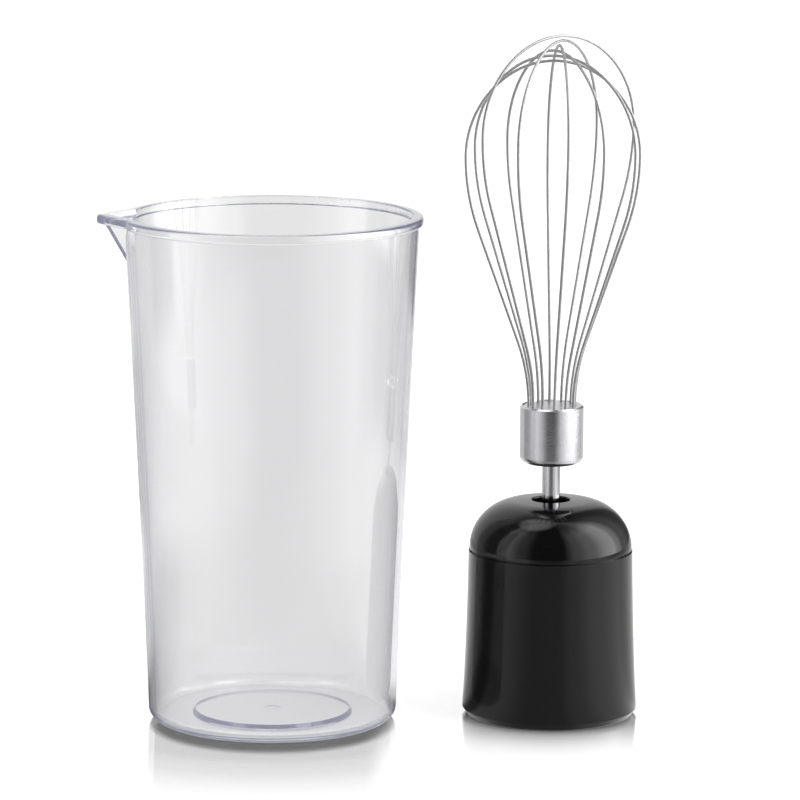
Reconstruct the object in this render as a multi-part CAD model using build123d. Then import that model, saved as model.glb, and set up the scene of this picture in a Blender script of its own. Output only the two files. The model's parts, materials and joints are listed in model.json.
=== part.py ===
from build123d import *
import math
import os
from typing import NamedTuple

# Accessories of an immersion blender: a whisk attachment that stands on its motor socket,
# and the beaker beside it. Millimetres, +Z up. The origin is on the whisk's axis, on the floor.

os.makedirs("parts", exist_ok=True)

# ---------------------------------------------------------------- fits and clearances
running_gap = 0.05  # radial, between a shaft and its bore
seat_gap = 0.05  # axial, between pieces that turn past each other
slip_gap = 0.02  # radial, between pieces that are pushed together and stay
cover_gap = 0.1  # radial, between a housing part and what it slides over

# ---------------------------------------------------------------- gearbox housing
sleeve_flare = 1.85  # how much wider the foot is than the top
sleeve_waist = 0.28  # how far the side curves in from a straight taper
sleeve_wall = 2.4
foot_chamfer_height = 2.0
foot_chamfer_width = 1.5
seam_gap = 0.65  # height of the black line under the dome
seam_depth = 0.9
snap_bead = 0.25  # how far each snap bead stands out
snap_height = 1.2

dome_step = 0.25  # the dome is this much narrower than the sleeve
dome_rise = 16.5  # seam to the hole's edge
dome_hole_radius = 6.35
dome_crown_radius = 165.0
dome_wall = 2.2
dome_inner_radius = 11.4  # inside of the shoulder
dome_collar_wall = 1.7
dome_collar_depth = 14.0  # below the hole's edge
dome_skirt_length = 5.8
dome_skirt_wall = 1.8
dome_skirt_blend = 3.0  # height over which the skirt thickens into the shell
hole_edge_radius = 0.5

# ---------------------------------------------------------------- motor socket
socket_depth = 22.0
socket_step = 0.4  # the socket is this much narrower than the gear case
socket_wall = 1.2
socket_floor = 2.0
socket_flange = 1.8
socket_opening_radius = 10.5  # the way through the floor to the coupling
guide_width = 5.0
guide_depth = 0.8
guide_length = 18.0
catch_width = 9.0
catch_height = 3.2
catch_level = 8.0

# ---------------------------------------------------------------- planetary gears
gear_module = 0.75
pressure_angle = 20.0
sun_teeth = 12
planet_teeth = 18
planet_count = 3
addendum = 0.85  # in modules
dedendum = 1.1  # in modules
tooth_backlash = 0.08  # circumferential, taken off each tooth
planet_width = 6.0
planet_hub_radius = 3.2
planet_hub_height = 0.15
planet_pin_radius = 1.7
ring_wall = 1.375  # behind the ring gear's roots
ring_height = 9.5
ring_key_width = 4.0
ring_key_height = 1.0

# ---------------------------------------------------------------- gear case
case_wall = 4.6
case_play = 0.2  # radial, inside the sleeve's top
case_skirt_height = 10.0  # from the socket's floor to the case's floor
case_floor = 2.5
case_hub_drop = 2.2
case_hub_wall = 2.4
cover_thickness = 2.5
cover_hub_height = 3.0
cover_hub_wall = 2.2
screw_edge = 2.75  # from the case's side to a screw's axis
screw_radius = 1.0
screw_length = 7.0
screw_head_radius = 1.9
screw_head_height = 1.2
screw_recess_depth = 0.6
screw_recess_width = 0.6
screw_recess_length = 2.4

# ---------------------------------------------------------------- bearings and seal
input_bush_wall = 2.1
bush_flange_width = 1.8
bush_flange_height = 0.6
output_bush_wall = 1.9
washer_radius = 10.5
washer_height = 0.6
seal_height = 1.9
seal_gap = 0.08
seal_wall = 2.9

# ---------------------------------------------------------------- drive side
sun_shaft_radius = 2.2
sun_flat_depth = 0.5
sun_pilot_radius = 2.0
sun_pilot_height = 0.9
coupling_radius = 8.0
coupling_setback = 0.6  # above the underside of the socket's floor
coupling_top_gap = 0.2
coupling_socket_depth = 5.4
coupling_bore_radius = 3.4
spline_count = 6
spline_width = 1.8
spline_depth = 1.8
coupling_lead_in = 1.0

# ---------------------------------------------------------------- carrier and spindle
carrier_radius = 16.4
carrier_thickness = 2.0
plate_thickness = 1.5
post_radius = 2.2
post_circle_radius = 13.0
stake_radius = 1.2
spindle_radius = 5.0
spindle_flat_depth = 0.7
spindle_floor = 2.5  # solid part between the pilot's recess and the shaft's socket
spindle_above_clip = 5.6
clip_wire_radius = 0.38
clip_above_seat = 3.4  # over the top of the shaft's flats
clip_gap_angle = 60.0
clip_bend_radius = 0.9
clip_window = 7.6

# ---------------------------------------------------------------- whisk
shaft_radius = 3.05
shaft_tip_gap = 0.5
shaft_flat_depth = 0.85
shaft_flat_length = 8.0
shaft_tip_chamfer = 0.6
shaft_groove_radius = 2.6
shaft_groove_width = 1.2
ferrule_clearance = 12.6  # above the dome's hole
ferrule_length = 19.5
ferrule_radius = 10.65
ferrule_wall = 1.2
ferrule_floor = 1.6
ferrule_foot_fillet = 2.2
ferrule_lip_chamfer = 0.5
plug_recess = 0.35  # plug's face below the ferrule's lip
plug_shaft_cover = 6.0  # solid plug above the shaft's end

wire_radius = 0.5
wire_circle_radius = 7.75  # of the holes in the plug
wire_embed = 10.0
wire_hole_flare = 0.3
loop_offset_angle = 4.5
flare_share = 0.574  # radius where a strand curves out of the plug, as a share of the cage's height
belly_share = 0.643  # radius where it turns back to upright, as a share of the cage's height
crown_height = 31.5  # widest point to apex
crown_joint_angle = 55.0
cage_height = 115.1  # ferrule's lip to the lowest apex
apex_step = 1.65  # the loops cross one above the other
cage_half_width = 32.2  # of the widest loop


class WireLoop(NamedTuple):
    width_share: float  # of the widest loop's
    level: int  # 0 crosses lowest
    lean: float  # degrees towards +X


# In order round the axis, equally spaced over half a turn.
wire_loops = (
    WireLoop(0.9, 0, -0.25),
    WireLoop(0.96, 5, 0.95),
    WireLoop(1.0, 4, 0.8),
    WireLoop(0.95, 3, 0.8),
    WireLoop(0.84, 2, 0.2),
    WireLoop(0.9, 1, 0.1),
)

# ---------------------------------------------------------------- beaker
beaker_x = -93.0
beaker_y = -9.0
beaker_height = 169.5
beaker_wall = 2.0
beaker_foot_radius = 41.2  # where the side meets the base rounding
beaker_mouth_radius = 48.8  # outside, under the lip
beaker_bow = 0.3  # how far the side curves in from a straight taper
beaker_base_fillet = 4.2
base_pad_radius = 26.7  # the raised middle of the base
base_pad_rise = 1.2
base_pad_slope = 0.9
base_thickness = 2.2
gate_mark_radius = 2.9
gate_mark_depth = 0.35
lip_projection = 1.2
lip_height = 3.2
lip_edge_radius = 1.1
spout_lip_projection = 8.25  # tip of the spout's lip, beyond the lip
spout_projection = 8.2  # ridge of the spout at the top, beyond the side
spout_depth = 15.9  # from the beaker's top to the spout's foot
spout_half_width = 14.6
spout_lip_half_width = 16.0
spout_tip_radius = 2.0
spout_root_reach = 0.35  # how far the spout and its lip run on inside the mouth, as a share of their width

# ---------------------------------------------------------------- derived heights and radii
socket_floor_bottom = socket_depth
case_bottom = socket_floor_bottom + socket_floor
case_floor_bottom = case_bottom + case_skirt_height
case_floor_top = case_floor_bottom + case_floor
case_hub_bottom = case_floor_bottom - case_hub_drop
plate_bottom = case_floor_top + bush_flange_height + seat_gap
plate_top = plate_bottom + plate_thickness
planet_bottom = plate_top + seat_gap + planet_hub_height
planet_top = planet_bottom + planet_width
carrier_bottom = planet_top + planet_hub_height + seat_gap
carrier_top = carrier_bottom + carrier_thickness
washer_bottom = carrier_top + seat_gap
cover_bottom = washer_bottom + washer_height + seat_gap
cover_top = cover_bottom + cover_thickness
cover_hub_top = cover_top + cover_hub_height
ring_top = case_floor_top + ring_height
sleeve_height = cover_top + seat_gap + dome_skirt_length
dome_hole_height = sleeve_height + dome_rise

sun_pitch_radius = gear_module * sun_teeth / 2
planet_pitch_radius = gear_module * planet_teeth / 2
planet_circle_radius = sun_pitch_radius + planet_pitch_radius
ring_teeth = sun_teeth + 2 * planet_teeth
ring_pitch_radius = gear_module * ring_teeth / 2
ring_root_radius = ring_pitch_radius + dedendum * gear_module
ring_outer_radius = ring_root_radius + ring_wall
case_bore_radius = ring_outer_radius + cover_gap
case_radius = case_bore_radius + case_wall
screw_circle_radius = case_radius - screw_edge
socket_radius = case_radius - socket_step
sleeve_top_radius = case_radius + case_play + sleeve_wall
sleeve_foot_radius = sleeve_top_radius + sleeve_flare
planet_bore_radius = planet_pin_radius + running_gap
planet_spacing = 360 / planet_count

input_bush_bore = sun_shaft_radius + running_gap
input_bush_radius = input_bush_bore + input_bush_wall
output_bush_bore = spindle_radius + running_gap
output_bush_radius = output_bush_bore + output_bush_wall
spindle_bore = shaft_radius + running_gap
pilot_recess_top = carrier_bottom + sun_pilot_height + seat_gap
shaft_socket_floor = pilot_recess_top + spindle_floor
shaft_tip_height = shaft_socket_floor + shaft_tip_gap
shaft_seat = shaft_tip_height + shaft_flat_length
clip_level = shaft_seat + clip_above_seat
spindle_top = clip_level + spindle_above_clip
ferrule_bottom = dome_hole_height + ferrule_clearance
ferrule_top = ferrule_bottom + ferrule_length
lowest_apex = ferrule_top + cage_height
flare_radius = cage_height * flare_share
belly_radius = cage_height * belly_share
plug_face = ferrule_top - plug_recess
plug_bottom = ferrule_bottom + ferrule_floor
shaft_top = plug_face - plug_shaft_cover
loop_spacing = 180 / len(wire_loops)

lip_radius = beaker_mouth_radius + lip_projection
spout_tip_reach = lip_radius + spout_lip_projection
spout_ridge_reach = beaker_mouth_radius + spout_projection
spout_foot_height = beaker_height - spout_depth


# ---------------------------------------------------------------- helpers
def polar(radius, angle):
    """Point at a radius and an angle in degrees."""
    return (radius * math.cos(math.radians(angle)), radius * math.sin(math.radians(angle)))


def turned_face(face):
    """Solid turned about +Z from a face whose points are (radius, height)."""
    return revolve(Plane.XZ * face, Axis.Z, 360)


def turned(*edges):
    """Solid turned about +Z from a closed outline whose points are (radius, height)."""
    return turned_face(make_face(edges))


def corners(face, *points):
    """Corners of a flat face that are nearest to the given points."""
    return [face.vertices().sort_by_distance((*point, 0))[0] for point in points]


def turned_polygon(*points):
    """Solid turned about +Z from straight runs between (radius, height) points."""
    return turned(*Polyline(*points, close=True).edges())


def tube(outer, inner, bottom, top):
    """Plain ring about +Z."""
    return turned_polygon((inner, bottom), (outer, bottom), (outer, top), (inner, top))


def rod(radius, bottom, top):
    """Plain cylinder about +Z."""
    return Pos(0, 0, bottom) * extrude(Circle(radius), top - bottom)


def rod_with_flats(radius, flat_depth, bottom, top):
    """Cylinder about +Z with two flats that face +Y and -Y."""
    width = 2 * (radius - flat_depth)
    section = Circle(radius) & Rectangle(2 * radius, width)
    return Pos(0, 0, bottom) * extrude(section, top - bottom)


def round_axis(shape, angle):
    """Copy of a shape turned about +Z."""
    return Rot(0, 0, angle) * shape


def around(shape, count, start=0.0):
    """Copies of a shape, equally spaced about +Z."""
    return [round_axis(shape, start + 360 * i / count) for i in range(count)]


def save(shape, name):
    """Write one sub-part."""
    shape.label = name
    export_step(shape, f"parts/{name}.step")


# ---------------------------------------------------------------- outer shell
def sleeve_side(inset):
    """Curved side of the sleeve, from the floor to the seam, moved in by an inset."""
    foot = (sleeve_foot_radius - inset, 0)
    top = (sleeve_top_radius - inset, sleeve_height)
    return SagittaArc(foot, top, sleeve_waist)


dome_radius = sleeve_top_radius - dome_step
skirt_radius = sleeve_top_radius - sleeve_wall - cover_gap
flange_radius = sleeve_foot_radius - sleeve_wall - cover_gap
flange_bead_level = socket_flange / 2
skirt_bead_level = sleeve_height - 2 * snap_height


def bead(radius, level, out, height):
    """Ring of triangular section that stands out of a radius at a level."""
    half = height / 2
    return turned_polygon((radius - 0.5, level - half), (radius, level - half), (radius + out, level),
                          (radius, level + half), (radius - 0.5, level + half))


def outer_sleeve():
    """Tapered shell with a chamfered foot, a rabbet for the seam and two snap grooves."""
    outside = sleeve_side(0)
    inside = sleeve_side(sleeve_wall)
    body = turned(outside, Line(outside @ 1, inside @ 1), inside, Line(inside @ 0, outside @ 0))
    foot = turned_polygon((sleeve_foot_radius - foot_chamfer_width, 0), (sleeve_foot_radius * 1.1, 0),
                          (sleeve_foot_radius * 1.1, foot_chamfer_height),
                          (sleeve_foot_radius, foot_chamfer_height))
    seam = tube(sleeve_top_radius * 1.1, sleeve_top_radius - seam_depth,
                sleeve_height - seam_gap, sleeve_height)
    skirt_groove = bead(skirt_radius, skirt_bead_level, snap_bead + cover_gap, snap_height + cover_gap)
    flange_groove = bead(flange_radius, flange_bead_level, snap_bead + cover_gap, snap_height + cover_gap)
    return body - foot - seam - skirt_groove - flange_groove


def dome_shoulder():
    """Radius and centre of the shoulder arc: upright at the seam, tangent to the crown arc."""
    apex = dome_hole_height + dome_crown_radius - math.sqrt(dome_crown_radius**2 - dome_hole_radius**2)
    crown_centre = apex - dome_crown_radius
    rise = sleeve_height - crown_centre
    radius = (dome_crown_radius**2 - dome_radius**2 - rise**2) / (2 * (dome_crown_radius - dome_radius))
    return radius, dome_radius - radius, crown_centre


def dome_cover():
    """Domed shell with a collar round the shaft hole and a skirt that snaps into the sleeve."""
    shoulder, shoulder_x, crown_centre = dome_shoulder()
    joint_angle = math.degrees(math.atan2(sleeve_height - crown_centre, shoulder_x))
    hole_angle = math.degrees(math.acos(dome_hole_radius / dome_crown_radius))
    collar_radius = dome_hole_radius + dome_collar_wall
    inner_crown = dome_crown_radius - dome_wall
    collar_angle = math.degrees(math.acos(collar_radius / inner_crown))
    inner_x = skirt_radius - dome_inner_radius
    inner_rise = math.sqrt((inner_crown - dome_inner_radius) ** 2 - inner_x**2)
    inner_joint = math.degrees(math.atan2(inner_rise, inner_x))
    inner_centre = crown_centre + inner_rise
    blend_rise = sleeve_height + dome_skirt_blend - inner_centre
    blend_angle = math.degrees(math.asin(blend_rise / dome_inner_radius))
    skirt_inner = skirt_radius - dome_skirt_wall
    skirt_bottom = cover_top + seat_gap
    collar_bottom = dome_hole_height - dome_collar_depth
    outer_side = CenterArc((shoulder_x, sleeve_height), shoulder, 0, joint_angle)
    outer_crown = CenterArc((0, crown_centre), dome_crown_radius, joint_angle, hole_angle - joint_angle)
    crown_under = CenterArc((0, crown_centre), inner_crown, collar_angle, inner_joint - collar_angle)
    side_turn = blend_angle - inner_joint
    side_under = CenterArc((inner_x, inner_centre), dome_inner_radius, inner_joint, side_turn)
    hole_edge = outer_crown @ 1
    outline = make_face([
        outer_side,
        outer_crown,
        Line(hole_edge, (dome_hole_radius, collar_bottom)),
        Line((dome_hole_radius, collar_bottom), (collar_radius, collar_bottom)),
        Line((collar_radius, collar_bottom), crown_under @ 0),
        crown_under,
        side_under,
        Line(side_under @ 1, (skirt_inner, sleeve_height)),
        Line((skirt_inner, sleeve_height), (skirt_inner, skirt_bottom)),
        Line((skirt_inner, skirt_bottom), (skirt_radius, skirt_bottom)),
        Line((skirt_radius, skirt_bottom), (skirt_radius, sleeve_height)),
        Line((skirt_radius, sleeve_height), outer_side @ 0),
    ])
    outline = fillet(corners(outline, (hole_edge.X, hole_edge.Y)), hole_edge_radius)
    return turned_face(outline) + bead(skirt_radius, skirt_bead_level, snap_bead, snap_height)


def motor_socket():
    """Liner that takes the motor handle: flange, bore wall, guide grooves, catch windows and floor."""
    outer = socket_radius + socket_wall
    floor_top = socket_floor_bottom + socket_floor
    body = turned_polygon(
        (socket_radius, 0),
        (flange_radius, 0),
        (flange_radius, socket_flange),
        (outer, socket_flange),
        (outer, floor_top),
        (socket_opening_radius, floor_top),
        (socket_opening_radius, socket_floor_bottom),
        (socket_radius, socket_floor_bottom),
    )
    body += bead(flange_radius, flange_bead_level, snap_bead, snap_height)
    guide = Pos(socket_radius, 0, guide_length / 2) * Box(2 * guide_depth, guide_width, guide_length)
    catch = Box(catch_width, 4 * socket_wall, catch_height)
    catch = Pos(0, socket_radius, catch_level + catch_height / 2) * catch
    body -= around(guide, 2) + around(catch, 2)
    through = rod(screw_radius + running_gap, socket_floor_bottom, floor_top)
    through = Pos(screw_circle_radius, 0, 0) * through
    head_bore = Pos(screw_circle_radius, 0, 0) * rod(screw_head_radius + cover_gap, socket_floor_bottom,
                                                     socket_floor_bottom + screw_head_height)
    return body - around(through + head_bore, planet_count, planet_spacing / 2)


# ---------------------------------------------------------------- gear case
def key_block(radius, width, bottom, top):
    """Block on +X from inside the ring gear out to a radius."""
    length = radius - ring_root_radius
    return Pos((radius + ring_root_radius) / 2, 0, bottom) * extrude(Rectangle(length, width), top - bottom)


def gear_case():
    """Cup with a hub for the input bush, a bore for the ring gear and key slots in its wall."""
    hub_radius = input_bush_radius + case_hub_wall
    body = turned_polygon(
        (case_bore_radius, case_bottom),
        (case_radius, case_bottom),
        (case_radius, cover_bottom),
        (case_bore_radius, cover_bottom),
        (case_bore_radius, case_floor_top),
        (input_bush_radius + slip_gap, case_floor_top),
        (input_bush_radius + slip_gap, case_hub_bottom),
        (hub_radius, case_hub_bottom),
        (hub_radius, case_floor_bottom),
        (case_bore_radius, case_floor_bottom),
    )
    slot = key_block(ring_outer_radius + ring_key_height + cover_gap, ring_key_width + 2 * cover_gap,
                     case_floor_top, cover_bottom)
    body -= around(slot, planet_count)
    pilots = rod(screw_radius, case_bottom, case_bottom + screw_length)
    pilots += rod(screw_radius, cover_bottom - screw_length, cover_bottom)
    return body - around(Pos(screw_circle_radius, 0, 0) * pilots, planet_count, planet_spacing / 2)


def gear_case_cover():
    """Disc with a hub for the output bush, a seal pocket and a spigot that holds the ring gear down."""
    bore = output_bush_radius + slip_gap
    pocket = spindle_radius + seal_gap + seal_wall + slip_gap
    hub_radius = pocket + cover_hub_wall / 2
    seal_top = cover_hub_top + seal_height + seat_gap
    spigot_inner = ring_pitch_radius
    body = turned_polygon(
        (bore, cover_bottom),
        (spigot_inner, cover_bottom),
        (spigot_inner, ring_top + seat_gap),
        (ring_outer_radius, ring_top + seat_gap),
        (ring_outer_radius, cover_bottom),
        (case_radius, cover_bottom),
        (case_radius, cover_top),
        (hub_radius, cover_top),
        (hub_radius, seal_top),
        (pocket, seal_top),
        (pocket, cover_hub_top),
        (bore, cover_hub_top),
    )
    through = Pos(screw_circle_radius, 0, 0) * rod(screw_radius + running_gap, cover_bottom, cover_top)
    head_bore = Pos(screw_circle_radius, 0, 0) * rod(screw_head_radius + cover_gap,
                                                     cover_top - screw_head_height, cover_top)
    return body - around(through + head_bore, planet_count, planet_spacing / 2)


def screw():
    """Screw that points up: its head's underside is at height 0, the head below it."""
    slot = Rectangle(screw_recess_length, screw_recess_width)
    recess = extrude(slot + Rot(0, 0, 90) * slot, screw_recess_depth)
    head = rod(screw_head_radius, -screw_head_height, 0) - Pos(0, 0, -screw_head_height) * recess
    return head + rod(screw_radius - slip_gap, 0, screw_length)


# ---------------------------------------------------------------- gears
def involute_angle(radius, base_radius):
    """Involute roll-off angle in degrees at a radius."""
    slope = math.acos(min(1.0, base_radius / radius))
    return math.degrees(math.tan(slope) - slope)


def gear_face(teeth, tip_radius, root_radius, tooth_width):
    """Gear outline with one tooth centred on +X; tooth_width is measured along the pitch circle."""
    pitch_radius = gear_module * teeth / 2
    base_radius = pitch_radius * math.cos(math.radians(pressure_angle))
    half_pitch = math.degrees(tooth_width / 2 / pitch_radius) + involute_angle(pitch_radius, base_radius)
    start_radius = max(root_radius, base_radius)
    middle_radius = (start_radius + tip_radius) / 2

    def flank(radius, side, centre):
        return polar(radius, centre + side * (half_pitch - involute_angle(radius, base_radius)))

    edges = []
    for tooth in range(teeth):
        centre = 360 * tooth / teeth
        root_half = half_pitch - involute_angle(start_radius, base_radius)
        low, low_end = polar(root_radius, centre - root_half), polar(root_radius, centre + root_half)
        next_low = polar(root_radius, centre + 360 / teeth - root_half)
        right = [flank(r, -1, centre) for r in (start_radius, middle_radius, tip_radius)]
        left = [flank(r, 1, centre) for r in (tip_radius, middle_radius, start_radius)]
        if root_radius < base_radius:
            edges += [Line(low, right[0]), Line(left[2], low_end)]
        edges += [
            ThreePointArc(*right),
            ThreePointArc(right[2], polar(tip_radius, centre), left[0]),
            ThreePointArc(*left),
            ThreePointArc(low_end, polar(root_radius, centre + 180 / teeth), next_low),
        ]
    return make_face(edges)


def external_gear(teeth, bottom, top):
    """Toothed blank between two heights, with a tooth centred on +X."""
    pitch_radius = gear_module * teeth / 2
    width = math.pi * gear_module / 2 - tooth_backlash
    tip_radius = pitch_radius + addendum * gear_module
    root_radius = pitch_radius - dedendum * gear_module
    return Pos(0, 0, bottom) * extrude(gear_face(teeth, tip_radius, root_radius, width), top - bottom)


def ring_gear():
    """Internal gear with a tooth space centred on +X and three keys that stop it turning."""
    width = math.pi * gear_module / 2 + tooth_backlash
    teeth = gear_face(ring_teeth, ring_root_radius, ring_pitch_radius - addendum * gear_module, width)
    body = rod(ring_outer_radius, case_floor_top, ring_top)
    key = key_block(ring_outer_radius + ring_key_height, ring_key_width, case_floor_top, ring_top)
    body += around(key, planet_count)
    return body - Pos(0, 0, case_floor_top) * extrude(teeth, ring_height)


def sun_gear():
    """Pinion shaft: flats for the coupling, teeth, and a pilot that runs in the spindle."""
    coupling_top = case_hub_bottom - coupling_top_gap
    shaft_bottom = socket_floor_bottom + coupling_setback + coupling_socket_depth
    teeth = round_axis(external_gear(sun_teeth, planet_bottom, planet_top), 180 / sun_teeth)
    flats = rod_with_flats(sun_shaft_radius, sun_flat_depth, shaft_bottom, coupling_top)
    shaft = rod(sun_shaft_radius, coupling_top, planet_bottom)
    return flats + shaft + teeth + rod(sun_pilot_radius, planet_top, carrier_bottom + sun_pilot_height)


def drive_coupling():
    """Splined socket that the motor's dog enters from below."""
    bottom = socket_floor_bottom + coupling_setback
    top = case_hub_bottom - coupling_top_gap
    socket_top = bottom + coupling_socket_depth
    body = turned_polygon(
        (coupling_bore_radius, bottom + coupling_lead_in),
        (coupling_bore_radius + spline_depth + coupling_lead_in, bottom),
        (coupling_radius, bottom),
        (coupling_radius, top),
        (0, top),
        (0, socket_top),
        (coupling_bore_radius, socket_top),
    )
    reach = coupling_bore_radius + spline_depth
    spline = Pos(reach / 2, 0, bottom) * extrude(Rectangle(reach, spline_width), coupling_socket_depth)
    body -= around(spline, spline_count)
    return body - rod_with_flats(sun_shaft_radius + slip_gap, sun_flat_depth, socket_top, top)


def planet_gear(angle):
    """Planet at an angle on the carrier, with a tooth pointing straight out and one straight in."""
    body = external_gear(planet_teeth, planet_bottom, planet_top)
    body += rod(planet_hub_radius, planet_bottom - planet_hub_height, planet_top + planet_hub_height)
    body -= rod(planet_bore_radius, plate_top, carrier_bottom)
    return round_axis(Pos(planet_circle_radius, 0, 0) * body, angle)


# ---------------------------------------------------------------- carrier
def planet_carrier():
    """Disc with a keyed hole for the spindle, three pin holes and three posts staked to the plate."""
    body = rod(carrier_radius, carrier_bottom, carrier_top)
    post = rod(post_radius, plate_top, carrier_bottom) + rod(stake_radius, plate_bottom, plate_top)
    body += around(Pos(post_circle_radius, 0, 0) * post, planet_count, planet_spacing / 2)
    pin_hole = rod(planet_pin_radius + slip_gap, carrier_bottom, carrier_top)
    body -= around(Pos(planet_circle_radius, 0, 0) * pin_hole, planet_count)
    return body - rod_with_flats(spindle_radius + slip_gap, spindle_flat_depth, carrier_bottom, carrier_top)


def carrier_plate():
    """Lower disc of the carrier, with room for the sun gear to pass."""
    sun_hole = sun_pitch_radius + gear_module
    body = tube(carrier_radius, sun_hole, plate_bottom, plate_top)
    pin_hole = rod(planet_pin_radius + slip_gap, plate_bottom, plate_top)
    stake_hole = rod(stake_radius + slip_gap, plate_bottom, plate_top)
    body -= around(Pos(planet_circle_radius, 0, 0) * pin_hole, planet_count)
    return body - around(Pos(post_circle_radius, 0, 0) * stake_hole, planet_count, planet_spacing / 2)


def output_spindle():
    """Hollow spindle: keyed into the carrier, flats inside for the whisk's shaft, groove for the clip."""
    body = rod_with_flats(spindle_radius, spindle_flat_depth, carrier_bottom, carrier_top)
    body += rod(spindle_radius, carrier_top, spindle_top)
    body -= rod(sun_pilot_radius + running_gap, carrier_bottom, pilot_recess_top)
    body -= rod_with_flats(spindle_bore, shaft_flat_depth, shaft_socket_floor, shaft_seat)
    body -= rod(spindle_bore, shaft_seat, spindle_top)
    half = clip_wire_radius + running_gap
    groove_radius = spindle_radius - 2 * clip_wire_radius
    groove = tube(spindle_radius + 1, groove_radius, clip_level - half, clip_level + half)
    window_start = shaft_groove_radius - clip_wire_radius
    window_width = spindle_radius + 1 - window_start
    window = Pos(window_start + window_width / 2, 0, clip_level) * Box(window_width, clip_window, 2 * half)
    return body - groove - window


def retaining_clip():
    """D-shaped spring wire: its straight side crosses the bore's edge and sits in the shaft's groove."""
    chord_x = shaft_groove_radius + slip_gap + clip_wire_radius
    ring_radius = spindle_radius - clip_wire_radius + slip_gap
    bend_centre_x = chord_x - clip_bend_radius
    bend_centre_y = math.sqrt((ring_radius - clip_bend_radius) ** 2 - bend_centre_x**2)
    bend_angle = math.degrees(math.atan2(bend_centre_y, bend_centre_x))
    back_angle = 180 - clip_gap_angle / 2
    chord = Line((chord_x, -bend_centre_y), (chord_x, bend_centre_y))
    upper_bend = CenterArc((bend_centre_x, bend_centre_y), clip_bend_radius, 0, bend_angle)
    upper_arc = CenterArc((0, 0), ring_radius, bend_angle, back_angle - bend_angle)
    lower_bend = CenterArc((bend_centre_x, -bend_centre_y), clip_bend_radius, -bend_angle, bend_angle)
    lower_arc = CenterArc((0, 0), ring_radius, -back_angle, back_angle - bend_angle)
    path = Wire([lower_arc, lower_bend, chord, upper_bend, upper_arc])
    start = Plane(origin=path @ 0, z_dir=path % 0)
    return Pos(0, 0, clip_level) * sweep(start * Circle(clip_wire_radius), path)


# ---------------------------------------------------------------- whisk
def whisk_shaft():
    """Steel shaft with flats and a chamfer at its tip and a groove for the clip."""
    flats = rod_with_flats(shaft_radius, shaft_flat_depth + slip_gap, shaft_tip_height, shaft_seat)
    tip = flats.faces().sort_by(Axis.Z)[0]
    body = chamfer(tip.edges(), shaft_tip_chamfer) + rod(shaft_radius, shaft_seat, shaft_top)
    half = shaft_groove_width / 2
    return body - tube(shaft_radius * 2, shaft_groove_radius, clip_level - half, clip_level + half)


def ferrule():
    """Drawn cup that holds the plug, with a rounded foot and a bevelled lip."""
    inner = ferrule_radius - ferrule_wall
    bore = shaft_radius + slip_gap
    foot = (ferrule_radius, ferrule_bottom)
    lip = (ferrule_radius, ferrule_top)
    inner_lip = (inner, ferrule_top)
    outline = make_face(Polyline((bore, ferrule_bottom), foot, lip, inner_lip, (inner, plug_bottom),
                                 (bore, plug_bottom), close=True))
    outline = fillet(corners(outline, foot), ferrule_foot_fillet)
    outline = chamfer(corners(outline, lip, inner_lip), ferrule_lip_chamfer)
    return turned_face(outline)


def loop_place(index):
    """Location of a loop: its own frame has the plug's face at height 0 and the loop in its XZ plane."""
    lean = Rot(0, wire_loops[index].lean, 0)
    return Pos(0, 0, plug_face) * lean * Rot(0, 0, loop_offset_angle + index * loop_spacing)


def loop_half(loop):
    """Edges of one strand from the plug to the apex, in the loop's own frame, on its +X side."""
    half_width = cage_half_width * loop.width_share
    widest = lowest_apex + apex_step * loop.level - crown_height - plug_face
    radii = flare_radius + belly_radius
    across = radii - (half_width - wire_circle_radius)
    run = math.sqrt(across**2 + widest**2 - radii**2)
    turn = math.degrees(math.atan2(widest, across) - math.atan2(run, radii))
    flare_centre = (wire_circle_radius + flare_radius, 0)
    belly_centre = (half_width - belly_radius, widest)
    c, s = polar(1, crown_joint_angle)
    share = 1 - c - s
    side_radius = (half_width * (1 - s) - c * crown_height) / share
    crown_radius = ((1 - c) * crown_height - s * half_width) / share
    stem = Line((wire_circle_radius, -wire_embed), (wire_circle_radius, 0))
    flare = CenterArc(flare_centre, flare_radius, 180, -turn)
    belly = CenterArc(belly_centre, belly_radius, -turn, turn)
    straight = Line(flare @ 1, belly @ 0)
    side = CenterArc((half_width - side_radius, widest), side_radius, 0, crown_joint_angle)
    crown_centre = (0, widest + crown_height - crown_radius)
    crown = CenterArc(crown_centre, crown_radius, crown_joint_angle, 90 - crown_joint_angle)
    return [stem, flare, straight, belly, side, crown]


def wire_loop(index):
    """One spring wire: up from the plug, round the crown and back down."""
    half = [Plane.XZ * edge for edge in loop_half(wire_loops[index])]
    other = [edge.mirror(Plane.YZ) for edge in half]
    path = Wire(half + other)
    start = Plane(origin=(wire_circle_radius, 0, -wire_embed), z_dir=(0, 0, 1))
    return loop_place(index) * sweep(start * Circle(wire_radius), path)


def ferrule_plug():
    """Plug with a blind bore for the shaft and a flared hole for each strand."""
    radius = ferrule_radius - ferrule_wall - slip_gap
    body = rod(radius, plug_bottom, plug_face) - rod(shaft_radius + slip_gap, plug_bottom, shaft_top)
    hole_radius = wire_radius + slip_gap
    hole = turned_polygon((0, -wire_embed), (hole_radius, -wire_embed), (hole_radius, -wire_hole_flare),
                          (hole_radius + wire_hole_flare, 0), (hole_radius + wire_hole_flare, 1), (0, 1))
    strand_holes = Pos(wire_circle_radius, 0, 0) * hole + Pos(-wire_circle_radius, 0, 0) * hole
    for index in range(len(wire_loops)):
        body -= loop_place(index) * strand_holes
    return body


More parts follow.
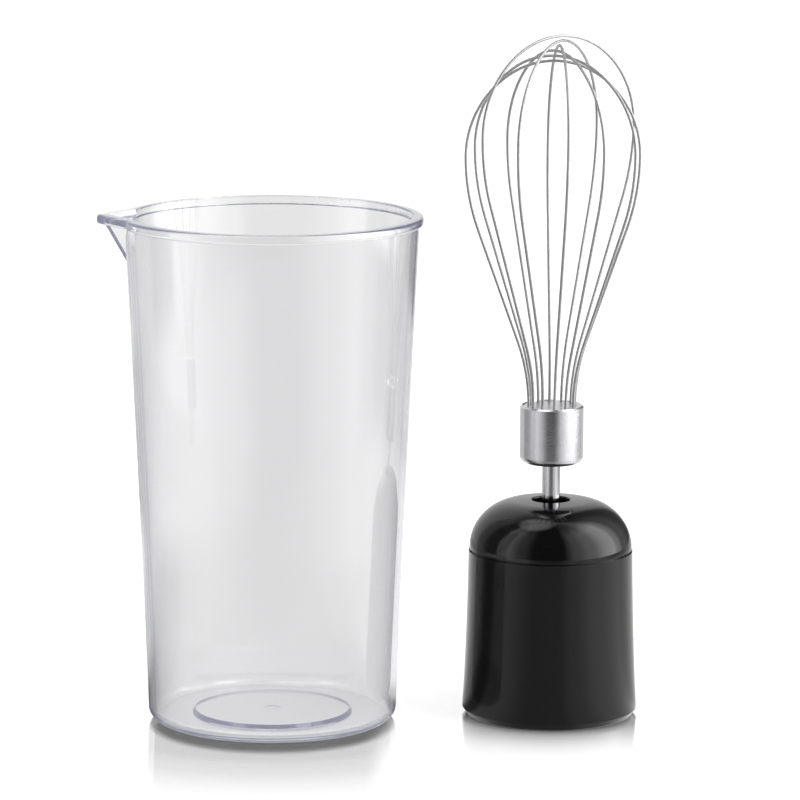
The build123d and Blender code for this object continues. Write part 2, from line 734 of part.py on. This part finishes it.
# ---------------------------------------------------------------- beaker
def beaker_side(inset, top_extra=0.0):
    """Curved side of the beaker from the base to the mouth, moved in by an inset."""
    foot = (beaker_foot_radius - inset, 0)
    mouth = (beaker_mouth_radius - inset, beaker_height + top_extra)
    return SagittaArc(foot, mouth, beaker_bow)


def beaker_cup():
    """Turned cup before the spout: tapered wall, stepped base and a lip round the mouth."""
    outside = beaker_side(0)
    foot = outside @ 0
    pad_edge = base_pad_radius - base_pad_slope
    gate_top = base_pad_rise + gate_mark_depth
    base = Polyline((0, beaker_height), (0, gate_top), (gate_mark_radius, gate_top),
                    (gate_mark_radius, base_pad_rise), (pad_edge, base_pad_rise), (base_pad_radius, 0),
                    (foot.X, foot.Y))
    outline = make_face([outside, Line(outside @ 1, (0, beaker_height))] + base.edges())
    outline = fillet(corners(outline, (foot.X, foot.Y)), beaker_base_fillet)
    lip_bottom = beaker_height - lip_height
    lip_inner = beaker_mouth_radius - beaker_wall
    lip_corners = [(lip_radius, lip_bottom), (lip_radius, beaker_height)]
    lip = make_face(Polyline((lip_inner, lip_bottom), *lip_corners, (lip_inner, beaker_height), close=True))
    lip = fillet(corners(lip, *lip_corners), lip_edge_radius)
    return turned_face(outline) + turned_face(lip)


def beaker_cavity():
    """Space inside the cup, with the step over the raised middle of the base."""
    inside = beaker_side(beaker_wall, 1.0)
    top = inside @ 1
    space = make_face([inside, Line(top, (0, top.Y)), Line((0, top.Y), (0, 0)), Line((0, 0), inside @ 0)])
    pad_edge = base_pad_radius - base_pad_slope
    pad_top = base_thickness + base_pad_rise
    wide = 2 * beaker_foot_radius
    step = [(wide, base_thickness), (base_pad_radius, base_thickness), (pad_edge, pad_top), (0, pad_top)]
    floor = make_face(Polyline((0, -1), (wide, -1), *step, close=True))
    space -= floor
    corner = corners(space, (beaker_foot_radius - beaker_wall, base_thickness))
    return turned_face(fillet(corner, beaker_base_fillet - beaker_wall))


def spout_wedge(height):
    """V-shaped wedge that grows from a point on the beaker's wall up to a height; it points to -X."""
    foot = Vector(-beaker_radius_at(spout_foot_height), 0, spout_foot_height)
    grow = (height - spout_foot_height) / (beaker_height - spout_foot_height)
    ridge = Vector(-spout_ridge_reach, 0, beaker_height)
    wall_x = math.sqrt(beaker_mouth_radius**2 - spout_half_width**2)
    corners = [ridge]
    for side in (1, -1):
        corner = Vector(-wall_x, side * spout_half_width, beaker_height)
        corners.append(ridge + (corner - ridge) * (1 + spout_root_reach))
    corners = [foot + (corner - foot) * grow for corner in corners]
    top = Wire.make_polygon(corners, close=True)
    sides = [Wire.make_polygon([foot, corners[i], corners[(i + 1) % 3]], close=True) for i in range(3)]
    return Solid(Shell([Face(w) for w in [top] + sides]))


def beaker_radius_at(height):
    """Outer radius of the beaker's wall at a height, on the straight taper less its bow there."""
    share = height / beaker_height
    taper = beaker_foot_radius + (beaker_mouth_radius - beaker_foot_radius) * share
    return taper - 4 * beaker_bow * share * (1 - share)


def spout_lip():
    """Lip that runs out from the mouth's lip to the spout's tip, with its outer edges rounded alike."""
    lip_x = math.sqrt(lip_radius**2 - spout_lip_half_width**2)
    root_x = (spout_tip_reach - lip_x) * (1 + spout_root_reach) - spout_tip_reach
    root_y = spout_lip_half_width * (1 + spout_root_reach)
    band = make_face(Polyline((-spout_tip_reach, 0), (root_x, root_y), (beaker_wall - lip_x, 0),
                              (root_x, -root_y), close=True))
    band = fillet(band.vertices().sort_by(Axis.X)[0], spout_tip_radius)
    lip = extrude(band, lip_height)
    outer_edges = [edge for edge in lip.edges().filter_by(Plane.XY) if edge.center().X < -lip_x]
    return Pos(0, 0, beaker_height - lip_height) * fillet(outer_edges, lip_edge_radius)


def beaker():
    """Clear beaker with a pouring spout that points to -X."""
    outer_wedge = spout_wedge(beaker_height)
    tall_wedge = spout_wedge(beaker_height + lip_height)
    foot = Vector(-beaker_radius_at(spout_foot_height), 0, spout_foot_height)
    ridge = Vector(-spout_ridge_reach, 0, beaker_height) - foot
    wall_x = math.sqrt(beaker_mouth_radius**2 - spout_half_width**2)
    across = Vector(-wall_x, spout_half_width, beaker_height) - foot
    normal = ridge.cross(across).normalized()
    inward = Vector(ridge.Z, 0, -ridge.X).normalized()
    shift = inward * (beaker_wall / abs(normal.dot(inward)))
    channel = Pos(*shift) * tall_wedge
    body = beaker_cup() + outer_wedge + spout_lip() - beaker_cavity() - channel
    return Pos(beaker_x, beaker_y, 0) * body


# ---------------------------------------------------------------- write every sub-part
save(outer_sleeve(), "outer_sleeve")
save(dome_cover(), "dome_cover")
save(motor_socket(), "motor_socket")
save(gear_case(), "gear_case")
save(gear_case_cover(), "gear_case_cover")
save(ring_gear(), "ring_gear")

input_bush = turned_polygon(
    (input_bush_bore, case_hub_bottom),
    (input_bush_radius, case_hub_bottom),
    (input_bush_radius, case_floor_top),
    (input_bush_radius + bush_flange_width, case_floor_top),
    (input_bush_radius + bush_flange_width, case_floor_top + bush_flange_height),
    (input_bush_bore, case_floor_top + bush_flange_height),
)
save(input_bush, "input_bush")
save(tube(output_bush_radius, output_bush_bore, cover_bottom, cover_hub_top), "output_bush")
save(tube(washer_radius, output_bush_bore, washer_bottom, washer_bottom + washer_height), "thrust_washer")
save(tube(spindle_radius + seal_gap + seal_wall, spindle_radius + seal_gap, cover_hub_top,
          cover_hub_top + seal_height), "shaft_seal")

save(sun_gear(), "sun_gear")
save(drive_coupling(), "drive_coupling")
save(planet_carrier(), "planet_carrier")
save(carrier_plate(), "carrier_plate")
save(output_spindle(), "output_spindle")
save(retaining_clip(), "retaining_clip")

for number in range(planet_count):
    angle = planet_spacing * number
    screw_angle = angle + planet_spacing / 2
    lower = Pos(screw_circle_radius, 0, socket_floor_bottom + screw_head_height) * screw()
    upper = Pos(screw_circle_radius, 0, cover_top - screw_head_height) * Rot(180, 0, 0) * screw()
    save(round_axis(lower, screw_angle), f"socket_screw_{number + 1}")
    save(round_axis(upper, screw_angle), f"case_screw_{number + 1}")
    save(planet_gear(angle), f"planet_gear_{number + 1}")
    pin = Pos(planet_circle_radius, 0, 0) * rod(planet_pin_radius, plate_bottom, carrier_top)
    save(round_axis(pin, angle), f"planet_pin_{number + 1}")

save(whisk_shaft(), "whisk_shaft")
save(ferrule(), "ferrule")
save(ferrule_plug(), "ferrule_plug")
for index in range(len(wire_loops)):
    save(wire_loop(index), f"wire_loop_{index + 1}")
save(beaker(), "beaker")
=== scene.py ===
import json
import math

import bpy
from mathutils import Matrix, Vector


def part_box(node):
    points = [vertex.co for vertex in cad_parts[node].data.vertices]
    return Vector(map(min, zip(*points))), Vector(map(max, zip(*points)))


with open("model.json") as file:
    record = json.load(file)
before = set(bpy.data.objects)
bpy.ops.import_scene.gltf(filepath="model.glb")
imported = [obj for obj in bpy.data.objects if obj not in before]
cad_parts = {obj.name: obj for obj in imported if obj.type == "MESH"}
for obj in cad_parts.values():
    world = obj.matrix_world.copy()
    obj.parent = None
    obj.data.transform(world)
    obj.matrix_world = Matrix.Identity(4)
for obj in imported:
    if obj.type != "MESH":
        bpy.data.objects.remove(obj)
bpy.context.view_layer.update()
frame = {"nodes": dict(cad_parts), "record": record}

# ---------------------------------------------------------------- camera
CAMERA_AT = (-0.05066, -1.62204, 0.39684)
CAMERA_PITCH = math.radians(10.163)
CAMERA_ROLL = math.radians(0.242)
CAMERA_LENS = 222.41  # mm
CAMERA_SENSOR = 36.0  # mm
CAMERA_REACH = 50.0  # metres


def place_camera():
    """Camera that looks along +Y, pitched down and slightly rolled."""
    data = bpy.data.cameras.new("camera")
    data.lens = CAMERA_LENS
    data.sensor_width = CAMERA_SENSOR
    data.clip_end = CAMERA_REACH
    camera = bpy.data.objects.new("camera", data)
    bpy.context.scene.collection.objects.link(camera)
    forward = Vector((0, math.cos(CAMERA_PITCH), -math.sin(CAMERA_PITCH)))
    right = Vector((1, 0, 0))
    up = right.cross(forward)
    c, s = math.cos(CAMERA_ROLL), math.sin(CAMERA_ROLL)
    axes = (right * c + up * s, up * c - right * s, -forward)
    turn = Matrix(axes).transposed().to_4x4()
    camera.matrix_world = Matrix.Translation(CAMERA_AT) @ turn
    bpy.context.scene.camera = camera


# ---------------------------------------------------------------- node helpers
class Nodes:
    """A node tree with short calls to add and join nodes."""

    def __init__(self, tree):
        self.tree = tree
        tree.nodes.clear()

    def add(self, kind, inputs=None, **settings):
        """New node; each input is a value or the socket that feeds it."""
        node = self.tree.nodes.new(kind)
        for name, value in settings.items():
            setattr(node, name, value)
        for key, value in (inputs or {}).items():
            socket = node.inputs[key]
            if isinstance(value, bpy.types.NodeSocket):
                self.tree.links.new(value, socket)
            else:
                socket.default_value = value
        return node

    def out(self, kind, inputs=None, **settings):
        """First output of a new node."""
        return self.add(kind, inputs, **settings).outputs[0]

    def math(self, operation, a, b, clamp=False):
        return self.out("ShaderNodeMath", {0: a, 1: b}, operation=operation, use_clamp=clamp)

    def product(self, a, b):
        return self.math("MULTIPLY", a, b)

    def at_least(self, count, times):
        """1 where a whole number has reached the given one."""
        return self.math("GREATER_THAN", count, times - 0.5)

    def none_of(self, count):
        """1 where a whole number is 0."""
        return self.math("LESS_THAN", count, 0.5)

    def blend(self, share, first, second):
        """Number that goes from the first to the second as the share goes from 0 to 1."""
        kept = self.product(first, self.math("SUBTRACT", 1.0, share))
        return self.math("ADD", kept, self.product(second, share))

    def step_up(self, value, start, end):
        """0 before start, 1 after end, smooth between them."""
        return self.out("ShaderNodeMapRange", {0: value, 1: start, 2: end},
                        interpolation_type="SMOOTHSTEP")

    def spread(self, texture, value, shares, between=(0.0, 1.0)):
        """Number that follows a texture between two shares of a value."""
        low, high = (value * share for share in shares)
        return self.out("ShaderNodeMapRange", {
            0: texture, 1: between[0], 2: between[1], 3: low, 4: high})

    def ramp(self, factor, stops, interpolation="EASE"):
        """Colour ramp of greys from (position, value) stops."""
        node = self.add("ShaderNodeValToRGB", {"Fac": factor})
        node.color_ramp.interpolation = interpolation
        elements = node.color_ramp.elements
        while len(elements) < len(stops):
            elements.new(0.5)
        for element, (position, value) in zip(elements, stops):
            element.position = position
            element.color = (value, value, value, 1)
        return node.outputs["Color"]

    def place(self):
        """Where on the object, in metres."""
        return self.add("ShaderNodeTexCoord").outputs["Object"]

    def ray(self):
        """What kind of ray meets the surface, and how often it was reflected or bent."""
        return self.add("ShaderNodeLightPath").outputs

    def noise(self, at, scale, detail, roughness=0.5):
        """Even noise; the roughness is how strong its finer layers are."""
        inputs = {"Vector": at, "Scale": scale, "Detail": detail, "Roughness": roughness}
        return self.add("ShaderNodeTexNoise", inputs).outputs["Fac"]

    def bump(self, texture, strength, depth):
        return self.out("ShaderNodeBump", {
            "Strength": strength, "Distance": depth, "Height": texture})

    def mix(self, factor, first, second):
        """Shader that goes from the first to the second as the factor goes from 0 to 1."""
        return self.out("ShaderNodeMixShader", {"Fac": factor, 1: first, 2: second})

    def flat(self, kind, colour):
        """Shader of one plain colour."""
        return self.out(kind, {"Color": (*colour, 1)})


def new_material(name):
    """New material and the nodes of its tree."""
    material = bpy.data.materials.new(name)
    material.use_nodes = True
    return material, Nodes(material.node_tree)


def finish_material(nodes, shader):
    nodes.add("ShaderNodeOutputMaterial", {"Surface": shader})


# ---------------------------------------------------------------- materials
# Scales of the noise, in cells per metre, and depths of the bumps, in metres.
POLISH_SCALE = 900.0
WAVE_SCALE = 45.0
SPARK_SCALE = 2200.0
STAIN_SCALE = 160.0
BEAKER_WAVE_SCALE = 22.0
WAVE_DEPTH = 0.0004
GRAIN_DEPTH = 0.0001
BEAKER_WAVE_DEPTH = 0.0006

# How far roughness and tone spread, as shares of the written value.
POLISH_SPREAD = (0.8, 1.3)
SPARK_SPREAD = (0.85, 1.15)
METAL_SPREAD = (0.7, 1.35)
METAL_TONES = (0.86, 1.0)
METAL_NOISE = (0.3, 0.7)  # the part of the noise over which they spread
GRAIN_SHARE = 0.7  # of the grain in a metal's unevenness
STAIN_SHARE = 0.3  # of the stains

SPARK_BUMP = 0.25
BEAKER_WAVINESS = 0.12
GLOSS_IOR = 1.5
BEAKER_IOR = 1.57
BEAKER_COAT_IOR = 1.6
BEAKER_ROUGHNESS = 0.02

# How the beaker looks in reflections and shadows, and the painted tones inside its wall.
WALL_IN_MIRROR = 0.88  # share of light that its wall lets through in a reflection
SHADED_FOOT_IN_MIRROR = 0.7  # the same for its foot, lower for a painted shade
FOOT_SHADE_IN_FLOOR = 0.45  # painted shade: how much less in the floor's reflection
FOOT_SHADE_HEIGHTS = (0.001, 0.0036)  # where its painted foot shade ends and its wall starts
IN_SHADOW = (0.9, 0.9, 0.91)  # share of lamplight that it lets through
PAINTED_SHADE_IN_GLASS = (0.72, 0.72, 0.755)  # painted shade that light reflected inside its wall ends at
PAINTED_EDGE_GLOW = (0.2, 0.2, 0.32)  # painted glow that light trapped in its edges ends at
TRAPPED_FROM = 4  # inner reflections from which light is taken as trapped
PAINTED_GLOW_IN_BEAKER = (0.78, 0.78, 0.78)  # painted reflection: the housing's pale glow in its inner wall


def gloss_plastic(name, colour, roughness, waviness):
    """Polished plastic with faint long waves; in the beaker's wall, a painted pale reflection.
    """
    material, n = new_material(name)
    at = n.place()
    polish = n.noise(at, POLISH_SCALE, detail=3.0)
    waves = n.noise(at, WAVE_SCALE, detail=1.0)
    shader = n.out("ShaderNodeBsdfPrincipled", {
        "Base Color": (*colour, 1),
        "Roughness": n.spread(polish, roughness, POLISH_SPREAD),
        "IOR": GLOSS_IOR,
        "Normal": n.bump(waves, waviness, WAVE_DEPTH)})
    ray = n.ray()
    through = n.at_least(ray["Transmission Depth"], 1)
    reflected = n.at_least(ray["Glossy Depth"], 1)
    both = n.product(through, reflected)
    # Reflected after it went into the beaker, but not by the floor, whose rays are singular.
    painted_glow_mask = n.math("SUBTRACT", both, ray["Is Singular Ray"], clamp=True)
    # Painted reflection: there the housing glows pale instead of showing its dark gloss.
    mirrored = n.mix(painted_glow_mask, shader, n.flat("ShaderNodeEmission", PAINTED_GLOW_IN_BEAKER))
    material.cycles.emission_sampling = "NONE"
    finish_material(n, n.mix(ray["Is Glossy Ray"], shader, mirrored))
    return material


def satin_plastic(name, colour, roughness):
    """Plain moulded plastic with a fine spark-eroded grain."""
    material, n = new_material(name)
    grain = n.noise(n.place(), SPARK_SCALE, detail=2.0)
    finish_material(n, n.out("ShaderNodeBsdfPrincipled", {
        "Base Color": (*colour, 1),
        "Roughness": n.spread(grain, roughness, SPARK_SPREAD),
        "Normal": n.bump(grain, SPARK_BUMP, GRAIN_DEPTH)}))
    return material


def metal(name, colour, roughness, grain_scale, grain_bump, stretch=(1, 1, 1)):
    """Metal with slight stains in its polish and a grain whose scale may differ by axis."""
    material, n = new_material(name)
    at = n.place()
    along = n.out("ShaderNodeMapping", {"Vector": at, "Scale": stretch})
    grain = n.noise(along, grain_scale, detail=4.0, roughness=0.7)
    stains = n.noise(at, STAIN_SCALE, detail=2.0)
    uneven = n.math("ADD", n.product(grain, GRAIN_SHARE), n.product(stains, STAIN_SHARE))
    tone = n.spread(uneven, 1.0, METAL_TONES, METAL_NOISE)
    tint = n.add("ShaderNodeMix", {"Factor": 1.0, 6: (*colour, 1), 7: tone},
                 data_type="RGBA", blend_type="MULTIPLY")
    finish_material(n, n.out("ShaderNodeBsdfPrincipled", {
        "Base Color": tint.outputs[2],
        "Metallic": 1.0,
        "Roughness": n.spread(uneven, roughness, METAL_SPREAD, METAL_NOISE),
        "Normal": n.bump(grain, grain_bump, GRAIN_DEPTH)}))
    return material


def clear_plastic(name, colour):
    """Clear plastic whose edges trap light, which ends at a painted dim glow.

    Lamplight passes straight through it. Where other pieces or the floor reflect it, it is
    a thin veil that is darker at its foot, a painted shade.
    """
    material, n = new_material(name)
    at = n.place()
    waves = n.noise(at, BEAKER_WAVE_SCALE, detail=1.0)
    shader = n.out("ShaderNodeBsdfPrincipled", {
        "Base Color": (*colour, 1),
        "Roughness": BEAKER_ROUGHNESS,
        "IOR": BEAKER_IOR,
        "Transmission Weight": 1.0,
        "Coat Weight": 1.0,
        "Coat Roughness": BEAKER_ROUGHNESS,
        "Coat IOR": BEAKER_COAT_IOR,
        "Normal": n.bump(waves, BEAKER_WAVINESS, BEAKER_WAVE_DEPTH)})
    ray = n.ray()
    height = n.add("ShaderNodeSeparateXYZ", {0: at}).outputs["Z"]
    # Painted shade: its foot is darker in reflections, more so in the floor's.
    darker = n.product(ray["Is Singular Ray"], FOOT_SHADE_IN_FLOOR)
    foot = n.math("SUBTRACT", SHADED_FOOT_IN_MIRROR, darker)
    passed = n.out("ShaderNodeMapRange", {
        0: height, 1: FOOT_SHADE_HEIGHTS[0], 2: FOOT_SHADE_HEIGHTS[1], 3: foot, 4: WALL_IN_MIRROR},
        interpolation_type="SMOOTHSTEP")
    in_mirror = n.out("ShaderNodeBsdfTransparent", {"Color": passed})
    trapped = n.at_least(ray["Glossy Depth"], TRAPPED_FROM)
    outside = n.none_of(ray["Transmission Depth"])
    # Painted glow: light trapped in its edges ends at a dim lavender.
    inner = n.mix(trapped, shader, n.flat("ShaderNodeEmission", PAINTED_EDGE_GLOW))
    mirrored = n.mix(outside, inner, in_mirror)
    seen = n.mix(ray["Is Glossy Ray"], shader, mirrored)
    in_shadow = n.flat("ShaderNodeBsdfTransparent", IN_SHADOW)
    finish_material(n, n.mix(ray["Is Shadow Ray"], seen, in_shadow))
    return material


SLOTS = {
    "housing_gloss": gloss_plastic(
        "gloss_black", (0.0075, 0.0075, 0.0078), roughness=0.05, waviness=0.03),
    "socket_plastic": satin_plastic("satin_black", (0.012, 0.012, 0.012), roughness=0.4),
    "case_plastic": satin_plastic("grey_plastic", (0.05, 0.05, 0.053), roughness=0.45),
    "gear_plastic": satin_plastic("white_acetal", (0.74, 0.73, 0.69), roughness=0.35),
    "bush_bronze": metal(
        "bronze", (0.62, 0.44, 0.25), roughness=0.4, grain_scale=2500.0, grain_bump=0.3),
    "steel": metal(
        "steel", (0.58, 0.58, 0.59), roughness=0.25, grain_scale=1500.0, grain_bump=0.1),
    "seal_rubber": satin_plastic("rubber", (0.02, 0.02, 0.02), roughness=0.7),
    "shaft_steel": metal(
        "polished_steel", (0.78, 0.78, 0.8), roughness=0.1, grain_scale=700.0,
        grain_bump=0.03, stretch=(1, 1, 0.3)),
    "wire_steel": metal(
        "wire_steel", (0.62, 0.62, 0.625), roughness=0.55, grain_scale=900.0,
        grain_bump=0.05, stretch=(1, 1, 0.1)),
    "ferrule_aluminium": metal(
        "satin_aluminium", (0.855, 0.85, 0.885), roughness=0.16, grain_scale=2600.0,
        grain_bump=0.35, stretch=(0.35, 0.35, 1)),
    "plug_aluminium": metal(
        "cast_aluminium", (0.8, 0.8, 0.81), roughness=0.33, grain_scale=1800.0,
        grain_bump=0.3),
    "clear_plastic": clear_plastic("clear_plastic", (0.945, 0.945, 0.95)),
}

for part in frame["record"]["subparts"]:
    for material_slot in frame["nodes"][part["node"]].material_slots:
        material_slot.material = SLOTS[part["material_slot"]]


# ---------------------------------------------------------------- studio
# How bright the studio looks in reflections, by the angle in degrees from the front (-Y),
# positive to the right: above the floor, on the floor near its middle, and further off.
# Painted reflection: the dark tones near -90 degrees stand in for the beaker.
STUDIO = (
    (-180, 0.85), (-130, 0.7), (-114, 0.57), (-105, 0.17), (-87, 0.15), (-80, 1.35),
    (-68, 1.35), (-45, 0.42), (-24, 0.0), (17, 0.0), (35, 0.95), (60, 1.9), (88, 3.9),
    (100, 3.9), (110, 2.0), (124, 0.6), (150, 0.15), (158, 0.15), (168, 0.75), (180, 0.85))
# Painted reflection: here too the dark tones near -90 degrees stand in for the beaker.
FLOOR_NEAR = (
    (-180, 1.05), (-146, 1.0), (-116, 0.57), (-96, 0.1), (-88, 0.1), (-76, 0.45),
    (-60, 0.54), (-22, 0.24), (8, 0.26), (28, 0.5), (62, 0.93), (97, 1.1), (113, 0.82),
    (150, 0.95), (180, 1.05))
FLOOR_FAR = (
    (-180, 0.9), (-145, 0.57), (-118, 0.57), (-84, 1.02), (-68, 1.02), (-38, 0.68),
    (-14, 0.18), (6, 0.15), (36, 0.65), (67, 1.0), (80, 0.82), (98, 0.47), (120, 0.5),
    (150, 0.7), (180, 0.9))
# Distances from the floor's middle, in metres: the near look ends, the far one starts, it
# starts to fade, and it is gone.
FLOOR_REACH = (0.3, 0.42, 0.65, 0.8)
TONE_LIMIT = 4.0  # the ramps hold tones up to this
FADE_HEIGHTS = (0.75, 1.0)  # of a direction of length 1, between which the studio fades
FADE = 0.85  # how much of it is gone straight up

OVERHEAD_AIM = (-0.24, -0.04, 0.97)  # direction of the light above
OVERHEAD_HALF_ANGLE = 16.0  # degrees
OVERHEAD_SOFTNESS = 0.025  # in the cosine of the angle
OVERHEAD_TONE = 1.6

WHITE = (1, 1, 1)
AMBIENT = (0.55, 0.55, 0.55)  # the studio's soft light
BEHIND_GLASS = (0.97, 0.97, 0.965)  # what shows through the beaker's wall
CAUGHT_AT_ONCE = 0.6  # how far one inner reflection already ends at PAINTED_SHADE_IN_GLASS


def round_tone(n, x, y, stops):
    """Tone of a ramp round the vertical axis in the direction (x, y)."""
    angle = n.math("ARCTAN2", x, n.product(y, -1.0))
    turn = n.math("ADD", n.math("DIVIDE", angle, 2 * math.pi), 0.5)
    ramp = n.ramp(turn, [((a + 180) / 360, v / TONE_LIMIT) for a, v in stops])
    return n.product(ramp, TONE_LIMIT)


def studio_tone(n):
    """Brightness of the studio in a direction: a ramp that fades upwards, and a light above."""
    toward = n.add("ShaderNodeTexCoord").outputs["Generated"]
    x, y, z = n.add("ShaderNodeSeparateXYZ", {0: toward}).outputs
    fade = n.math("SUBTRACT", 1.0, n.product(n.step_up(z, *FADE_HEIGHTS), FADE))
    tone = n.product(round_tone(n, x, y, STUDIO), fade)
    aim = Vector(OVERHEAD_AIM).normalized()
    near = n.add("ShaderNodeVectorMath", {0: toward, 1: aim}, operation="DOT_PRODUCT")
    edge = math.cos(math.radians(OVERHEAD_HALF_ANGLE))
    inside = n.step_up(
        near.outputs["Value"], edge - OVERHEAD_SOFTNESS, edge + OVERHEAD_SOFTNESS)
    return n.math("ADD", tone, n.product(inside, OVERHEAD_TONE))


def by_ray(n, ray, kind, plain, reflection):
    """What each kind of ray sees in the world and on the floor.

    Reflected rays see the reflection, rays straight through the beaker a pale tone, and
    rays that leave it after a reflection inside its wall a darker one. All others, and all
    that light something, see the plain shader.
    """
    lighting = n.at_least(ray["Diffuse Depth"], 1)
    reflected = n.at_least(ray["Glossy Depth"], 1)
    twice = n.at_least(ray["Glossy Depth"], 2)
    through = n.at_least(ray["Transmission Depth"], 1)
    leaving = n.product(through, ray["Is Transmission Ray"])
    caught = n.product(leaving, n.blend(CAUGHT_AT_ONCE, twice, reflected))
    seen = n.mix(through, plain, n.flat(kind, BEHIND_GLASS))
    seen = n.mix(reflected, seen, reflection)
    # Painted shade: rays that leave the beaker after an inner reflection see a darker tone.
    seen = n.mix(caught, seen, n.flat(kind, PAINTED_SHADE_IN_GLASS))
    return n.mix(lighting, seen, plain)


def build_world():
    """White to the camera and in the floor's gloss, the studio in other reflections."""
    world = bpy.data.worlds.new("studio")
    bpy.context.scene.world = world
    world.use_nodes = True
    n = Nodes(world.node_tree)
    ray = n.ray()
    kind = "ShaderNodeBackground"
    studio = n.out(kind, {"Color": (*WHITE, 1), "Strength": studio_tone(n)})
    seen = by_ray(n, ray, kind, n.flat(kind, AMBIENT), studio)
    # Only the floor's gloss is a perfect mirror, so only its rays are singular.
    mirrored = n.product(ray["Is Singular Ray"], ray["Is Glossy Ray"])
    from_floor = n.product(mirrored, n.none_of(ray["Transmission Depth"]))
    seen = n.mix(from_floor, seen, n.flat(kind, WHITE))
    seen = n.mix(ray["Is Camera Ray"], seen, n.flat(kind, WHITE))
    n.add("ShaderNodeOutputWorld", {"Surface": seen})


# ---------------------------------------------------------------- floor
FLOOR_HALF = 3.0
FLOOR_DROP = 0.0001  # keeps it clear of the feet
FLOOR_TONE = (2.3, 2.3, 2.3)  # its white to the camera
FLOOR_LIT = (0.8, 0.8, 0.8)  # its white in the light that it throws on the pieces
# The pieces that stand on it, with the radius of each foot. The beaker comes last.
FEET = (("outer_sleeve", 0.0279), ("beaker", 0.0375))
# Its gloss by the distance from a foot: near any foot, and in front of the beaker.
GLOSS = (
    (0.0, 0.92), (0.0066, 0.63), (0.013, 0.49), (0.02, 0.365), (0.026, 0.3), (0.033, 0.25),
    (0.052, 0.2), (0.1, 0.0))
BEAKER_GLOSS = (
    (0.0, 0.95), (0.021, 0.95), (0.0275, 0.85), (0.034, 0.8), (0.0406, 0.77),
    (0.0537, 0.62), (0.0668, 0.52), (0.14, 0.0))
BEAKER_SIDE = (-0.062, -0.05)  # x where the gloss in front of the beaker ends
BEAKER_FRONT = (0.0, 0.03)  # -y where it starts


def foot_centre(node):
    """Centre of a round piece on the floor, from its right: its left may have a spout."""
    low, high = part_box(node)
    radius = (high[1] - low[1]) / 2
    return high[0] - radius, low[1] + radius


def by_distance(n, distance, stops):
    """Value at a distance in metres, from (distance, value) stops."""
    reach = stops[-1][0]
    scaled = n.math("DIVIDE", distance, reach)
    return n.ramp(scaled, [(d / reach, v) for d, v in stops], "LINEAR")


def floor_gloss(n, at, x, y):
    """Share of mirror in the floor's surface."""
    offsets = []
    for node, radius in FEET:
        centre = (*foot_centre(node), 0)
        away = n.add("ShaderNodeVectorMath", {0: at, 1: centre}, operation="DISTANCE")
        offsets.append(n.math("SUBTRACT", away.outputs["Value"], radius))
    around = by_distance(n, n.math("MINIMUM", *offsets), GLOSS)
    ahead = by_distance(n, offsets[-1], BEAKER_GLOSS)
    beside = n.math("SUBTRACT", 1.0, n.step_up(x, *BEAKER_SIDE))
    before = n.product(beside, n.step_up(n.product(y, -1.0), *BEAKER_FRONT))
    return n.blend(before, around, ahead)


def build_floor():
    """White floor with shadows and reflections near the pieces, and plain white further off."""
    half = FLOOR_HALF
    mesh = bpy.data.meshes.new("floor")
    corners = [(-half, -half, 0), (half, -half, 0), (half, half, 0), (-half, half, 0)]
    mesh.from_pydata(corners, [], [(0, 1, 2, 3)])
    floor = bpy.data.objects.new("floor", mesh)
    floor.location.z = -FLOOR_DROP
    bpy.context.scene.collection.objects.link(floor)

    material, n = new_material("floor_white")
    at = n.place()
    x, y, _ = n.add("ShaderNodeSeparateXYZ", {0: at}).outputs
    away = n.add("ShaderNodeVectorMath", {0: at}, operation="LENGTH").outputs["Value"]
    near_end, far_start, fading, gone = FLOOR_REACH
    tone = n.blend(n.step_up(away, near_end, far_start),
                   round_tone(n, x, y, FLOOR_NEAR), round_tone(n, x, y, FLOOR_FAR))
    glow = n.out("ShaderNodeEmission", {"Color": (*WHITE, 1), "Strength": tone})
    clear = n.flat("ShaderNodeBsdfTransparent", WHITE)
    reflection = n.mix(n.step_up(away, fading, gone), glow, clear)
    plain = n.flat("ShaderNodeBsdfDiffuse", FLOOR_LIT)
    bright = n.flat("ShaderNodeBsdfDiffuse", FLOOR_TONE)
    mirror = n.out("ShaderNodeBsdfAnisotropic", {"Color": (*WHITE, 1), "Roughness": 0.0})
    ray = n.ray()
    seen = by_ray(n, ray, "ShaderNodeEmission", plain, reflection)
    to_camera = n.mix(floor_gloss(n, at, x, y), bright, mirror)
    finish_material(n, n.mix(ray["Is Camera Ray"], seen, to_camera))
    mesh.materials.append(material)


# ---------------------------------------------------------------- lamps
# Name, place, point that it faces, size and brightness.
LAMPS = (
    ("softbox_right", (0.75, -0.55, 0.95), (0, 0, 0.08), (0.55, 0.55), 2.2),
    ("softbox_left", (-0.95, -0.45, 0.9), (-0.05, 0, 0.08), (0.35, 0.6), 1.2),
)


def softbox(name, at, aim, size, brightness):
    """Rectangular lamp that faces a point and shows in no reflection."""
    data = bpy.data.lights.new(name, "AREA")
    data.shape = "RECTANGLE"
    data.size, data.size_y = size
    data.energy = brightness * math.pi * size[0] * size[1]
    lamp = bpy.data.objects.new(name, data)
    lamp.location = at
    lamp.rotation_euler = (Vector(aim) - Vector(at)).to_track_quat("-Z", "Y").to_euler()
    lamp.visible_glossy = False
    bpy.context.scene.collection.objects.link(lamp)


# ---------------------------------------------------------------- scene
# How often light may be reflected and bent, which is often in the beaker's edges.
GLOSSY_BOUNCES = 12
MAX_BOUNCES = 24

place_camera()
build_world()
build_floor()
for settings in LAMPS:
    softbox(*settings)
bpy.context.scene.cycles.glossy_bounces = GLOSSY_BOUNCES
bpy.context.scene.cycles.max_bounces = MAX_BOUNCES
bpy.context.scene.view_settings.view_transform = "Standard"
